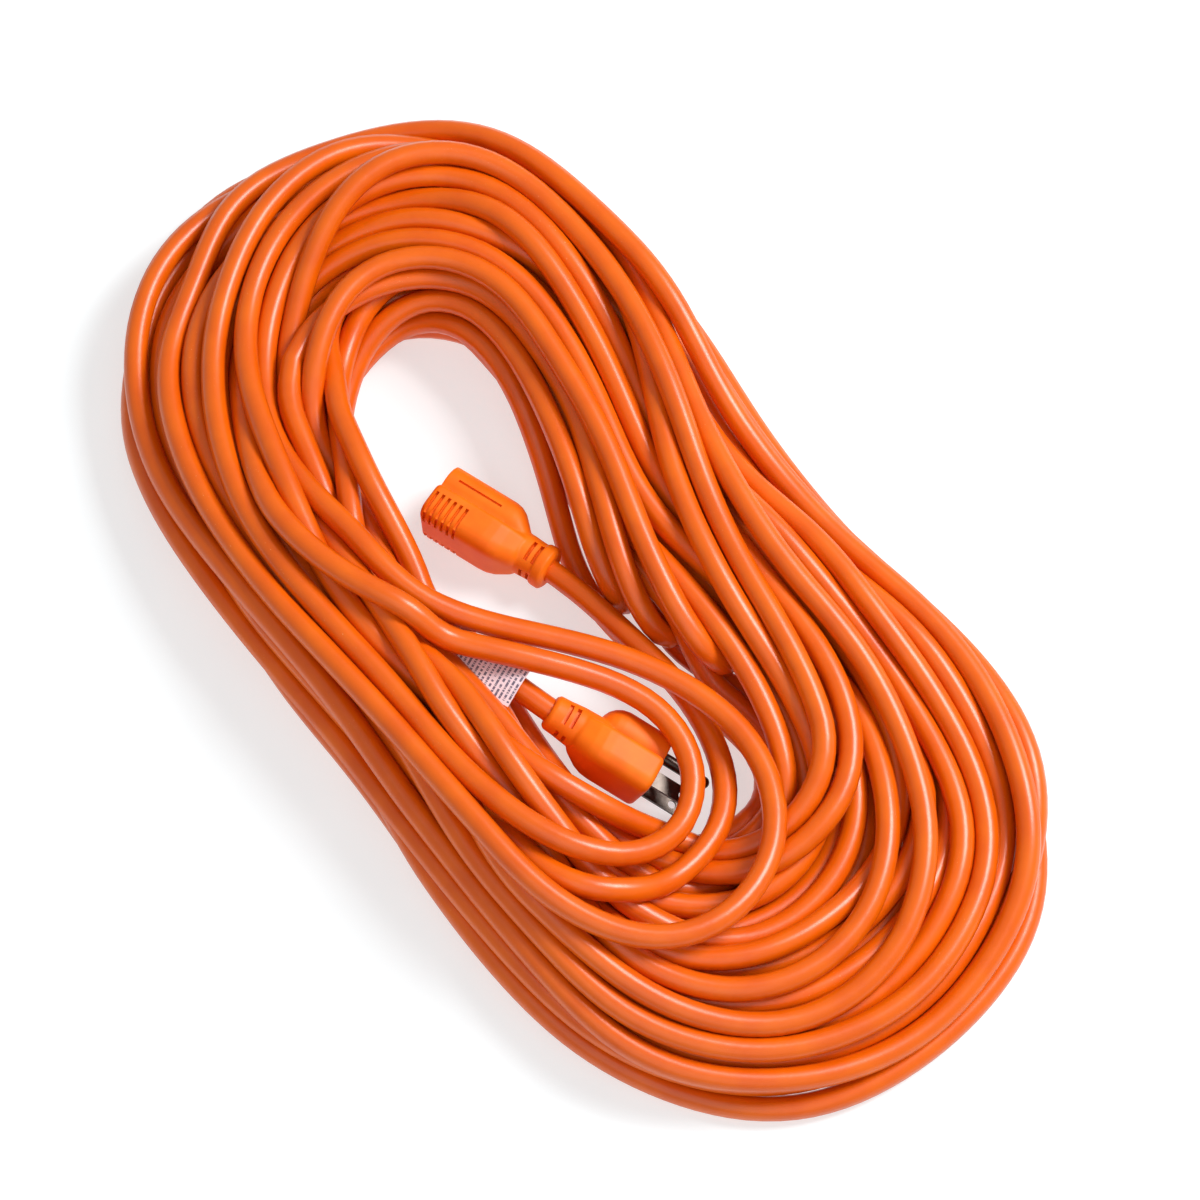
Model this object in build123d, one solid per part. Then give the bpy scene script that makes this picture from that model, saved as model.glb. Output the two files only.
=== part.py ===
from build123d import *
import os
from math import cos, pi, radians, sin, tan

# A 100 ft grounded extension cord, folded into a loose oblong hank that lies on a flat surface.
# Row frame: +Z up, +X along the hank's long axis, origin under the middle of the hank, on the surface.

# ---- cord ----
CORD_D = 9.4
CORD_R = CORD_D / 2

# ---- hank ----
HANK_H = 54.0
HANK_TOP_ROUND = 9.0
OUTER_EDGE = [
    (-220, 4), (-204, 62), (-162, 96), (-96, 106), (-20, 99), (42, 97), (108, 106),
    (165, 101), (204, 70), (220, 8), (208, -56), (168, -92), (98, -104), (10, -101),
    (-70, -107), (-135, -102), (-186, -81), (-213, -42),
]
HOLE_EDGE = [
    (-128, 18), (-104, 37), (-72, 37), (-38, 24), (4, 12), (48, 15), (86, 20),
    (114, 8), (120, -22), (104, -46), (72, -57), (30, -59), (-8, -57), (-48, -54),
    (-86, -42), (-120, -16),
]

# Along the hole's lower side the inner turns lie low, and the plug's lead and its tag rest on them.
SHELF_BOX = ((-22, -77), (46, -50))
SHELF_Z = 25.0

# ---- loose stretches of cord, as hand-laid points ----
CONNECTOR_LEAD = [
    (27, 5, 20), (46, 8, 21), (65, 9, 21), (84, 6, 21), (102, -1, 23), (115, -14, 26), (120, -31, 29),
]
PLUG_LEAD = [(12, -50, 33), (-4, -56, 31), (-22, -64, 30)]
LONG_LOOP = [
    (-32, -66, 43.5), (-13, -52, 44), (4, -37, 42.5), (23, -19, 38), (44, -2, 35), (67, 9, 34),
    (89, 14, 34), (110, 11, 35), (128, 1, 37),
]
SHORT_LOOP = [
    (-36, -78, 49), (-19, -69, 49), (-2, -57, 47), (14, -43, 46.5), (30, -28, 43), (47, -13, 36),
    (66, -4, 32), (82, -5, 31), (96, -11, 31), (106, -22, 31), (110, -36, 33), (109, -51, 35),
]

# ---- plug and connector, grounded 15 A pattern ----
BLADE_PITCH = 12.7        # between the two flat blades
BLADE_W = 6.35
BLADE_T = 1.5
BLADE_L = 17.1
BLADE_HOLE_R = 1.6
BLADE_HOLE_FROM_TIP = 4.5
BLADE_TIP_CHAMFER = 1.2
TAIL_L = 8.0              # the part of each blade and pin that is moulded in
GROUND_OFFSET = 11.9      # from the blades' line to the round pin
PIN_R = 2.4
PIN_L = 20.6
PIN_TAIL_R = 1.7          # the pin's thinner end, inside the moulding
SOCKET_R = 2.6            # round hole that takes the pin
SLOT_W = 7.4
SLOT_T = 2.3

BODY_HALF_W = 13.5        # across the two blades
BLOCK_LOW = -8.0          # the blade block's flat side
BLOCK_HIGH = 7.0          # where the round ground ridge starts
RIDGE_R = 8.2
NECK_Z = 4.0              # the cord's axis, measured towards the ground pin
NECK_R = 8.4
NECK_END_R = 6.6
EDGE_ROUND = 3.0

CONNECTOR_FRONT = 32.0    # straight part of the moulding
CONNECTOR_TAPER = 10.0
CONNECTOR_RELIEF = 12.0
PLUG_FRONT = 25.0
PLUG_TAPER = 9.0
PLUG_RELIEF = 12.0
CONNECTOR_LENGTH = CONNECTOR_FRONT + CONNECTOR_TAPER + CONNECTOR_RELIEF
PLUG_LENGTH = PLUG_FRONT + PLUG_TAPER + PLUG_RELIEF

CARRIER_WALL = 3.2        # moulding left round the hard insert
CARRIER_L = 25.0          # the connector's insert
PLUG_CARRIER_DEPTH = 2.0  # moulding in front of the plug's insert
CONTACT_DEPTH = 3.0       # from the face to the blade contacts
SLEEVE_DEPTH = 9.0        # from the face to the ground sleeve
CONTACT_GAP = 2.1         # between a contact's two leaves
SLEEVE_SLACK = 0.1        # the sleeve's bore past the round hole's radius
CONTACT_T = 0.8
CONTACT_L = 14.0
WIRE_R = 1.6              # one insulated conductor
COPPER_R = 0.9            # its stranded core
STRIPPED_L = 3.0
WIRE_GAP = 0.8            # from the conductors' ends in the model to the jacket's end
JACKET_GRIP = 9.0         # how far the cord's jacket goes into the moulding

# ---- tag ----
TAG_L = 32.0
TAG_H = 18.0
TAG_T = 0.3
TAG_EDGE = (10, -41, 39.0)     # the middle of its upper edge, over the lead
TAG_ALONG = (0.93, 0.35, 0.03)
TAG_UP = (-0.35, 0.90, 0.12)


def frame_at(origin, forward, ground):
    """A frame at the moulding's face: X out of the face, Z towards the ground pin."""
    return Plane(origin=origin, x_dir=forward, z_dir=ground)


def unit(vector):
    return Vector(*vector).normalized()


def square_to(vector, forward):
    """The part of a vector that is square to the forward direction."""
    v, f = unit(vector), unit(forward)
    return (v - f * v.dot(f)).normalized()


CONNECTOR_FORWARD = unit((-0.944, -0.330, -0.02))
CONNECTOR_GROUND = square_to((-0.330, 0.944, 0.0), CONNECTOR_FORWARD)
CONNECTOR_FACE = (-60.0, -22.0, 14.0)
PLUG_FORWARD = unit((0.87, 0.40, -0.27))
PLUG_GROUND = square_to((-0.402, 0.900, -0.10), PLUG_FORWARD)
PLUG_FACE = (82.0, -24.0, 19.0)

CONNECTOR = frame_at(CONNECTOR_FACE, CONNECTOR_FORWARD, CONNECTOR_GROUND)
PLUG = frame_at(PLUG_FACE, PLUG_FORWARD, PLUG_GROUND)


def rod(radius, start, end):
    """A round rod between two points."""
    a, b = Vector(*start), Vector(*end)
    return extrude(Plane(origin=a, z_dir=b - a) * Circle(radius), (b - a).length)


def along_x(x, y, z):
    """A sketch plane square to X, with its own X along Y and its own Y along Z."""
    return Plane(origin=(x, y, z), x_dir=(0, 1, 0), z_dir=(1, 0, 0))


def moulding(front, taper, relief):
    """The outer shape: blade block, round ground ridge, shoulder and tapered strain relief."""
    block_mid = (BLOCK_LOW + BLOCK_HIGH) / 2
    block_h = BLOCK_HIGH - BLOCK_LOW
    block_section = RectangleRounded(2 * BODY_HALF_W, block_h, EDGE_ROUND)
    block = extrude(along_x(-front, 0, block_mid) * block_section, front)
    ridge = extrude(along_x(-front, 0, GROUND_OFFSET) * Circle(RIDGE_R), front)
    web = Pos(-front / 2, 0, GROUND_OFFSET / 2) * Box(front, 2 * RIDGE_R, GROUND_OFFSET)
    whole_h = GROUND_OFFSET + RIDGE_R - BLOCK_LOW
    whole_mid = BLOCK_LOW + whole_h / 2
    wide = along_x(-front, 0, whole_mid) * RectangleRounded(2 * BODY_HALF_W - 4, whole_h - 3, RIDGE_R)
    narrow = along_x(-front - taper, 0, NECK_Z) * Circle(NECK_R)
    shoulder = loft([wide, narrow])
    neck = Pos(-front - taper - relief / 2, 0, NECK_Z) * Rot(0, -90, 0) * Cone(NECK_R, NECK_END_R, relief)
    return block + ridge + web + shoulder + neck


def wire_ends(x_contact, x_jacket):
    """Where the three conductors run: from each contact back to the cord's jacket."""
    spread = 2.0
    contacts = {
        "hot": (BLADE_PITCH / 2, 0.0),
        "neutral": (-BLADE_PITCH / 2, 0.0),
        "ground": (0.0, GROUND_OFFSET),
    }
    at_jacket = {"hot": (spread, -1.2), "neutral": (-spread, -1.2), "ground": (0.0, spread)}
    runs = {}
    for name, (y, z) in contacts.items():
        jy, jz = at_jacket[name]
        runs[name] = ((x_contact, y, z), (x_jacket, jy, NECK_Z + jz))
    return runs


def wire(run):
    """One conductor: its insulation, and the bare copper that shows past it."""
    (x, y, z), jacket_point = run
    bare_end = (x - STRIPPED_L, y, z)
    copper = rod(COPPER_R, (x, y, z), bare_end)
    insulation = rod(WIRE_R, bare_end, jacket_point) - copper
    return insulation, copper


def blade(y):
    """A flat blade with its hole, and the tail that is moulded in."""
    plate = Pos((BLADE_L - TAIL_L) / 2, y, 0) * Box(BLADE_L + TAIL_L, BLADE_T, BLADE_W)
    tip = plate.edges().filter_by(Axis.Y).sort_by(Axis.X)[-2:]
    plate = chamfer(tip, BLADE_TIP_CHAMFER)
    hole = Pos(BLADE_L - BLADE_HOLE_FROM_TIP, y, 0) * Rot(90, 0, 0) * Cylinder(BLADE_HOLE_R, BLADE_T * 2)
    return plate - hole


def ground_pin():
    """The round pin, longer than the blades, with a domed tip and a thinner tail."""
    tail = rod(PIN_TAIL_R, (-TAIL_L, 0, GROUND_OFFSET), (1, 0, GROUND_OFFSET))
    shaft = rod(PIN_R, (0, 0, GROUND_OFFSET), (PIN_L - PIN_R, 0, GROUND_OFFSET))
    dome = Pos(PIN_L - PIN_R, 0, GROUND_OFFSET) * Sphere(PIN_R)
    return tail + shaft + dome


def plug_parts():
    """The plug's pieces in its own frame."""
    carrier_l = TAIL_L - PLUG_CARRIER_DEPTH
    carrier_x = -PLUG_CARRIER_DEPTH
    x_contact = -TAIL_L
    x_jacket = -PLUG_LENGTH + JACKET_GRIP + WIRE_GAP
    blades = {"plug_hot_blade": blade(BLADE_PITCH / 2), "plug_neutral_blade": blade(-BLADE_PITCH / 2)}
    pin = ground_pin()
    plate = extrude(along_x(carrier_x - carrier_l, 0, 0) * RectangleRounded(20.0, 9.5, 2.0), carrier_l)
    boss = extrude(along_x(carrier_x - carrier_l, 0, GROUND_OFFSET) * Circle(4.6), carrier_l)
    link = Pos(carrier_x - carrier_l / 2, 0, GROUND_OFFSET / 2) * Box(carrier_l, 6.0, GROUND_OFFSET)
    carrier = plate + boss + link
    solids = dict(blades)
    solids["plug_ground_pin"] = pin
    for piece in list(solids.values()):
        carrier = carrier - piece
    solids["plug_blade_carrier"] = carrier
    for name, run in wire_ends(x_contact, x_jacket).items():
        insulation, copper = wire(run)
        solids["plug_%s_wire" % name] = insulation
        solids["plug_%s_strands" % name] = copper
    body = moulding(PLUG_FRONT, PLUG_TAPER, PLUG_RELIEF)
    for piece in list(solids.values()):
        body = body - piece
    solids["plug_body"] = body - jacket_end(PLUG_LENGTH)
    return solids


def jacket_end(length):
    """The space that the cord's own end takes inside the strain relief."""
    return rod(CORD_R, (-length - 1, 0, NECK_Z), (-length + JACKET_GRIP, 0, NECK_Z))


def contact(y):
    """A folded brass contact: two leaves that grip a blade, joined at the back."""
    leaf_y = (CONTACT_GAP + CONTACT_T) / 2
    leaf_x = -CONTACT_DEPTH - CONTACT_L / 2
    back_x = -CONTACT_DEPTH - CONTACT_L - CONTACT_T / 2
    folded = Pos(back_x, y, 0) * Box(CONTACT_T, CONTACT_GAP + 2 * CONTACT_T, BLADE_W)
    for side in (-1, 1):
        folded = folded + Pos(leaf_x, y + side * leaf_y, 0) * Box(CONTACT_L, CONTACT_T, BLADE_W)
    return folded


def on_ground(x):
    """A point on the ground pin's axis."""
    return (x, 0, GROUND_OFFSET)


def ground_contact():
    """A brass sleeve that takes the round pin, closed at the back."""
    bore_r = SOCKET_R + SLEEVE_SLACK
    back = -SLEEVE_DEPTH - CONTACT_L
    return ground_pocket() - rod(bore_r, on_ground(1 - SLEEVE_DEPTH), on_ground(back + CONTACT_T))


def ground_pocket():
    """The space that the ground sleeve fills in the insert."""
    outer_r = SOCKET_R + SLEEVE_SLACK + CONTACT_T
    return rod(outer_r, on_ground(-SLEEVE_DEPTH), on_ground(-SLEEVE_DEPTH - CONTACT_L))


def carrier_block():
    """The connector's hard insert before its slots are cut: a plate, a round boss and a link."""
    half_w = BODY_HALF_W - CARRIER_WALL
    plate_h = BLOCK_HIGH - BLOCK_LOW - 2 * (CARRIER_WALL - 0.6)
    plate_section = RectangleRounded(2 * half_w, plate_h, 2.0)
    plate = extrude(along_x(-CARRIER_L, 0, (BLOCK_LOW + BLOCK_HIGH) / 2) * plate_section, CARRIER_L)
    boss = extrude(along_x(-CARRIER_L, 0, GROUND_OFFSET) * Circle(RIDGE_R - CARRIER_WALL), CARRIER_L)
    link = Pos(-CARRIER_L / 2, 0, GROUND_OFFSET / 2) * Box(CARRIER_L, 8.0, GROUND_OFFSET)
    return plate + boss + link


def contact_carrier():
    """The insert with its two blade slots, its round ground hole and the contacts' pockets."""
    carrier = carrier_block()
    pocket_l = CONTACT_L + CONTACT_T
    pocket_x = -CONTACT_DEPTH - pocket_l / 2
    for y in (BLADE_PITCH / 2, -BLADE_PITCH / 2):
        carrier = carrier - Pos(-CONTACT_DEPTH / 2, y, 0) * Box(CONTACT_DEPTH, SLOT_T, SLOT_W)
        carrier = carrier - Pos(pocket_x, y, 0) * Box(pocket_l, CONTACT_GAP + 2 * CONTACT_T, BLADE_W)
    bore = rod(SOCKET_R, on_ground(1), on_ground(-SLEEVE_DEPTH))
    return carrier - bore - ground_pocket()


def connector_parts():
    """The connector's pieces in its own frame."""
    runs = wire_ends(-CONTACT_DEPTH - CONTACT_L - CONTACT_T, -CONNECTOR_LENGTH + JACKET_GRIP + WIRE_GAP)
    runs["ground"] = (on_ground(-SLEEVE_DEPTH - CONTACT_L), runs["ground"][1])
    solids = {
        "connector_hot_contact": contact(BLADE_PITCH / 2),
        "connector_neutral_contact": contact(-BLADE_PITCH / 2),
        "connector_ground_contact": ground_contact(),
    }
    carrier = contact_carrier()
    body = moulding(CONNECTOR_FRONT, CONNECTOR_TAPER, CONNECTOR_RELIEF) - carrier_block()
    for name, run in runs.items():
        insulation, copper = wire(run)
        solids["connector_%s_wire" % name] = insulation
        solids["connector_%s_strands" % name] = copper
        carrier = carrier - insulation - copper
        body = body - insulation - copper
    solids["connector_contact_carrier"] = carrier
    solids["connector_body"] = body - jacket_end(CONNECTOR_LENGTH)
    return solids


def hank():
    """The outer shape of all the coiled turns: one oblong ring with an open middle."""
    rim = make_face(Spline(*OUTER_EDGE, periodic=True))
    hole = make_face(Spline(*HOLE_EDGE, periodic=True))
    ring = extrude(rim, HANK_H) - extrude(hole, HANK_H)
    ring = fillet(ring.faces().sort_by(Axis.Z)[-1].edges(), HANK_TOP_ROUND)
    (x0, y0), (x1, y1) = SHELF_BOX
    above = HANK_H - SHELF_Z
    shelf = Pos((x0 + x1) / 2, (y0 + y1) / 2, SHELF_Z + above / 2) * Box(x1 - x0, y1 - y0, above)
    return ring - shelf


def corner_radii(points):
    """Each arc is 0.45 of the shorter run beside it, divided by the tangent of half the turn."""
    radii = []
    for a, b, c in zip(points, points[1:], points[2:]):
        before = Vector(*b) - Vector(*a)
        after = Vector(*c) - Vector(*b)
        half_turn = radians(before.get_angle(after)) / 2
        radii.append(0.45 * min(before.length, after.length) / tan(half_turn))
    return radii


def cord_tube(name, points):
    """A plain round tube along straight runs joined by tangent arcs."""
    radii = corner_radii(points)
    path = FilletPolyline(*points, radius=radii)
    start = Plane(origin=path @ 0, z_dir=path % 0)
    tube = sweep(start * Circle(CORD_R), path=path)
    share = tube.volume / (path.length * pi * CORD_R**2)
    print("%s: length %.0f mm, radii %s, volume share %.3f"
          % (name, path.length, ", ".join("%.0f" % r for r in radii), share))
    return tube


def lead_points(frame, length, straight):
    """The cord's start inside a strain relief, and a point straight out of it."""
    start = frame.from_local_coords(Vector(JACKET_GRIP - length, 0, NECK_Z))
    out = frame.from_local_coords(Vector(-length - straight, 0, NECK_Z))
    return [tuple(start), tuple(out)]


def loose_cords(ring):
    """The stretches of cord that lie in the open middle, cut where they join the hank."""
    routes = {
        "connector_lead": lead_points(CONNECTOR, CONNECTOR_LENGTH, 9) + CONNECTOR_LEAD,
        "plug_lead": lead_points(PLUG, PLUG_LENGTH, 7) + PLUG_LEAD,
        "long_loose_loop": LONG_LOOP,
        "short_loose_loop": SHORT_LOOP,
    }
    pieces = {}
    for name, points in routes.items():
        open_part = cord_tube(name, points) - ring
        pieces[name] = open_part.solids().sort_by(SortBy.VOLUME)[-1]
    return pieces


def tag():
    """A warning tag glued round the plug's lead: one thin flag that leans on the turns beside it."""
    flag = Pos(0, 0, -TAG_H / 2) * Box(TAG_L, TAG_T, TAG_H)
    return Plane(origin=TAG_EDGE, x_dir=TAG_ALONG, z_dir=TAG_UP) * flag


def write(name, solid):
    """One STEP file per piece."""
    export_step(solid, "parts/%s.step" % name)


def main():
    """Builds every piece in the row frame and writes it."""
    os.makedirs("parts", exist_ok=True)
    ring = hank()
    write("cord_hank", ring)
    for name, solid in loose_cords(ring).items():
        write(name, solid)
    write("warning_tag", tag())
    for frame, parts in ((PLUG, plug_parts()), (CONNECTOR, connector_parts())):
        for name, solid in parts.items():
            write(name, frame.location * solid)


main()
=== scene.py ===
"""An orange grounded extension cord, 100 ft long, folded into a loose oblong hank on a pale floor."""

import logging
import math
from dataclasses import dataclass, field
from enum import Enum

import bpy
import numpy as np
from mathutils import Matrix, Vector


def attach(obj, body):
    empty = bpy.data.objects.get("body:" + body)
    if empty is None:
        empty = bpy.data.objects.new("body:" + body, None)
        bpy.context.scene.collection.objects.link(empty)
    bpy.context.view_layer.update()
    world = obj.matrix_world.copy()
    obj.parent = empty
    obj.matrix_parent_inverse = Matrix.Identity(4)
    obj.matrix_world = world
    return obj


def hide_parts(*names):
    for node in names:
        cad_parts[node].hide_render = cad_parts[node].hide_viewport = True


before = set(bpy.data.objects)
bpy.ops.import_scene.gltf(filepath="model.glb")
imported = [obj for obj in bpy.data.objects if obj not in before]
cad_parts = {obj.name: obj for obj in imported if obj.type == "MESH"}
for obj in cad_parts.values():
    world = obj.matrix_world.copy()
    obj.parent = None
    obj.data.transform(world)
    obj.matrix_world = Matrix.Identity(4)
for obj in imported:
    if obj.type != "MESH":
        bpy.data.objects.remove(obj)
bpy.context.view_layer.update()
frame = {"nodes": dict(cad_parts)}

LOG = logging.getLogger("extension_cord")
MM = 0.001
BODY = "root"
FEWEST_FACES = 1000  # a moulding with fewer was emptied by a cut

Point = tuple[float, float, float]
Key = tuple[float, float, float]
Socket = bpy.types.NodeSocket
Colour = tuple[float, float, float, float]


# ---------------------------------------------------------------- finishes


def linear(red: int, green: int, blue: int) -> Colour:
    """Turns a 0-255 display colour into a linear one.

    Args:
        red: Red, 0 to 255.
        green: Green, 0 to 255.
        blue: Blue, 0 to 255.

    Returns:
        The colour as linear red, green, blue and an alpha of 1.
    """
    channels = []
    for value in (red, green, blue):
        c = value / 255
        channels.append(c / 12.92 if c <= 0.04045 else ((c + 0.055) / 1.055) ** 2.4)
    return (channels[0], channels[1], channels[2], 1.0)


class NodeSheet:
    """A material's node tree, with short ways to add and join its nodes."""

    def __init__(self, name: str) -> None:
        """Makes the material and its shader.

        Args:
            name: The material's name.
        """
        self.material = bpy.data.materials.new(name)
        self.material.use_nodes = True
        self.tree = self.material.node_tree
        self.shader = self.tree.nodes["Principled BSDF"]

    def add(self, kind: str, **settings: object) -> bpy.types.Node:
        """Adds a node.

        Args:
            kind: The node's type name.
            **settings: Its own settings, by attribute name.

        Returns:
            The new node.
        """
        node = self.tree.nodes.new(kind)
        for key, value in settings.items():
            setattr(node, key, value)
        return node

    def link(self, out: Socket, into: Socket) -> None:
        """Joins two sockets."""
        self.tree.links.new(out, into)

    def place(self, source: str, scale: Point) -> Socket:
        """Gives stretched texture coordinates.

        Args:
            source: "Object" or "UV".
            scale: The stretch along each axis.

        Returns:
            The socket with the coordinates.
        """
        coordinates = self.add("ShaderNodeTexCoord")
        mapping = self.add("ShaderNodeMapping")
        mapping.inputs["Scale"].default_value = scale
        self.link(coordinates.outputs[source], mapping.inputs["Vector"])
        return mapping.outputs["Vector"]

    def noise(self, vector: Socket, scale: float, detail: float = 3.0) -> Socket:
        """Adds a noise texture and gives its value.

        Args:
            vector: The coordinates.
            scale: Noise cells per unit.
            detail: How many finer layers it has.

        Returns:
            The noise value's socket.
        """
        node = self.add("ShaderNodeTexNoise")
        node.inputs["Scale"].default_value = scale
        node.inputs["Detail"].default_value = detail
        self.link(vector, node.inputs["Vector"])
        return node.outputs["Fac"]

    def ramp(
        self, value: Socket, stops: list[tuple[float, Colour]]
    ) -> Socket:
        """Maps a value to colours.

        Args:
            value: The value, 0 to 1.
            stops: Each stop's place and colour.

        Returns:
            The colour's socket.
        """
        node = self.add("ShaderNodeValToRGB")
        elements = node.color_ramp.elements
        while len(elements) < len(stops):
            elements.new(0.5)
        for element, (place, colour) in zip(elements, stops):
            element.position = place
            element.color = colour
        self.link(value, node.inputs["Fac"])
        return node.outputs["Color"]

    def math(self, operation: str, first: object, second: object = 0.0) -> Socket:
        """Adds a math node.

        Args:
            operation: What it does.
            first: A socket or a number.
            second: A socket or a number.

        Returns:
            The result's socket.
        """
        node = self.add("ShaderNodeMath", operation=operation)
        for index, value in enumerate((first, second)):
            if isinstance(value, Socket):
                self.link(value, node.inputs[index])
            else:
                node.inputs[index].default_value = value
        return node.outputs[0]

    def mix(self, mask: Socket, under: Socket, over: Colour) -> Socket:
        """Lays a plain colour over another one where a mask says so.

        Args:
            mask: 0 for the colour under it, 1 for the plain one.
            under: The colour under it.
            over: The plain colour.

        Returns:
            The mixed colour's socket.
        """
        node = self.add("ShaderNodeMix", data_type="RGBA")
        self.link(mask, node.inputs["Factor"])
        self.link(under, node.inputs[6])
        node.inputs[7].default_value = over
        return node.outputs[2]

    def roughness(self, value: Socket, low: float, high: float) -> None:
        """Drives the roughness between two values.

        Args:
            value: The value that drives it, 0 to 1.
            low: The roughness at 0.
            high: The roughness at 1.
        """
        node = self.add("ShaderNodeMapRange")
        node.inputs["To Min"].default_value = low
        node.inputs["To Max"].default_value = high
        self.link(value, node.inputs["Value"])
        self.link(node.outputs["Result"], self.shader.inputs["Roughness"])

    def bump(self, value: Socket, strength: float, distance: float) -> None:
        """Raises the surface by a value.

        Args:
            value: The value, 0 to 1.
            strength: How strongly it shows.
            distance: The height at 1, in metres.
        """
        node = self.add("ShaderNodeBump")
        node.inputs["Strength"].default_value = strength
        node.inputs["Distance"].default_value = distance
        self.link(value, node.inputs["Height"])
        self.link(node.outputs["Normal"], self.shader.inputs["Normal"])


@dataclass(frozen=True)
class MouldedPlastic:
    """Satin moulded plastic with a fine grain and slight colour drift."""

    name: str
    dark: tuple[int, int, int]
    light: tuple[int, int, int]
    rough: tuple[float, float] = (0.36, 0.48)
    grain: float = 0.12

    def material(self) -> bpy.types.Material:
        """Builds the material.

        Returns:
            The new material.
        """
        sheet = NodeSheet(self.name)
        where = sheet.place("Object", (1, 1, 1))
        drift = sheet.noise(where, 90, 3)
        colour = sheet.ramp(drift, [(0.3, linear(*self.dark)), (0.7, linear(*self.light))])
        sheet.link(colour, sheet.shader.inputs["Base Color"])
        fine = sheet.noise(where, 2600, 4)
        sheet.roughness(fine, *self.rough)
        sheet.bump(fine, self.grain, 0.00012)
        sheet.shader.inputs["Specular IOR Level"].default_value = 0.32
        return sheet.material


@dataclass(frozen=True)
class CordJacket:
    """Extruded vinyl: drawn lines along the cord, faint scuffs and pale specks."""

    name: str
    dark: tuple[int, int, int]
    light: tuple[int, int, int]
    scuff: tuple[int, int, int]
    length: float
    girth: float

    def material(self) -> bpy.types.Material:
        """Builds the material; it reads the tube's own UV map, whose U runs along the cord.

        Returns:
            The new material.
        """
        sheet = NodeSheet(self.name)
        along = sheet.place("UV", (self.length, self.girth, 1))
        drawn = sheet.place("UV", (self.length * 0.04, self.girth * 4, 1))
        solid = sheet.place("Object", (1, 1, 1))
        drift = sheet.noise(solid, 60, 3)
        body = sheet.ramp(drift, [(0.3, linear(*self.dark)), (0.7, linear(*self.light))])
        speck = sheet.noise(solid, 1500, 2)
        speck_mask = sheet.ramp(speck, [(0.70, (0, 0, 0, 1)), (0.76, (1, 1, 1, 1))])
        patch = sheet.ramp(sheet.noise(along, 14, 3), [(0.52, (0, 0, 0, 1)), (0.66, (0.55, 0.55, 0.55, 1))])
        mask = sheet.math("MULTIPLY", speck_mask, patch)
        scuffed = sheet.mix(mask, body, linear(*self.scuff))
        sheet.link(scuffed, sheet.shader.inputs["Base Color"])
        lines = sheet.noise(drawn, 420, 3)
        skin = sheet.noise(solid, 700, 3)
        sheet.roughness(skin, 0.27, 0.38)
        height = sheet.math("ADD", sheet.math("MULTIPLY", lines, 0.5), sheet.math("MULTIPLY", skin, 0.5))
        sheet.bump(height, 0.16, 0.0002)
        sheet.shader.inputs["Specular IOR Level"].default_value = 0.5
        return sheet.material


@dataclass(frozen=True)
class PlatedMetal:
    """Rolled metal with fine draw lines and light tarnish."""

    name: str
    dark: tuple[int, int, int]
    light: tuple[int, int, int]
    rough: tuple[float, float] = (0.2, 0.38)

    def material(self) -> bpy.types.Material:
        """Builds the material.

        Returns:
            The new material.
        """
        sheet = NodeSheet(self.name)
        where = sheet.place("Object", (1, 1, 1))
        stretched = sheet.place("Object", (0.15, 1, 1))
        tarnish = sheet.noise(where, 260, 4)
        lines = sheet.noise(stretched, 5200, 3)
        colour = sheet.ramp(tarnish, [(0.3, linear(*self.dark)), (0.72, linear(*self.light))])
        sheet.link(colour, sheet.shader.inputs["Base Color"])
        sheet.roughness(tarnish, *self.rough)
        sheet.bump(lines, 0.12, 0.00005)
        sheet.shader.inputs["Metallic"].default_value = 1.0
        return sheet.material


@dataclass(frozen=True)
class PrintedFilm:
    """Pale glossy label film with painted sheen in lighter blotches, and rows of plain dashes, which stand
    for small print.
    """

    name: str
    paper: tuple[int, int, int]
    ink: tuple[int, int, int]
    # the lighter tint of the painted sheen blotches on the paper
    painted_sheen: tuple[int, int, int] = (246, 232, 236)
    rows: int = 17
    dashes: float = 20.0

    def material(self) -> bpy.types.Material:
        """Builds the material; it reads the tag's own UV map, whose U runs along its long side.

        Returns:
            The new material.
        """
        sheet = NodeSheet(self.name)
        coordinates = sheet.add("ShaderNodeTexCoord")
        parts = sheet.add("ShaderNodeSeparateXYZ")
        sheet.link(coordinates.outputs["UV"], parts.inputs[0])
        run = sheet.math("MULTIPLY", parts.outputs["X"], float(self.rows))
        row = sheet.math("FLOOR", run)
        across = sheet.math("ABSOLUTE", sheet.math("SUBTRACT", sheet.math("FRACT", run), 0.5))
        in_line = sheet.math("LESS_THAN", across, 0.24)
        letters = sheet.add("ShaderNodeCombineXYZ")
        sheet.link(sheet.math("MULTIPLY", row, 7.3), letters.inputs[0])
        sheet.link(sheet.math("MULTIPLY", parts.outputs["Y"], self.dashes), letters.inputs[1])
        word = sheet.math("GREATER_THAN", sheet.noise(letters.outputs[0], 1.7, 1), 0.45)
        from_middle = sheet.math("ABSOLUTE", sheet.math("SUBTRACT", parts.outputs["Y"], 0.5))
        inset = sheet.math("LESS_THAN", from_middle, 0.43)
        ink = sheet.math("MULTIPLY", sheet.math("MULTIPLY", in_line, word), inset)
        # painted sheen: noise blotches lift the paper colour towards the lighter sheen tint; the same noise
        # also drives roughness and bump
        sheen_mottle = sheet.noise(sheet.place("Object", (1, 1, 1)), 120, 3)
        paper = sheet.ramp(sheen_mottle, [(0.3, linear(*self.paper)), (0.7, linear(*self.painted_sheen))])
        printed = sheet.mix(ink, paper, linear(*self.ink))
        sheet.link(printed, sheet.shader.inputs["Base Color"])
        sheet.roughness(sheen_mottle, 0.3, 0.45)
        sheet.bump(sheen_mottle, 0.15, 0.0002)
        return sheet.material


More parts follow.
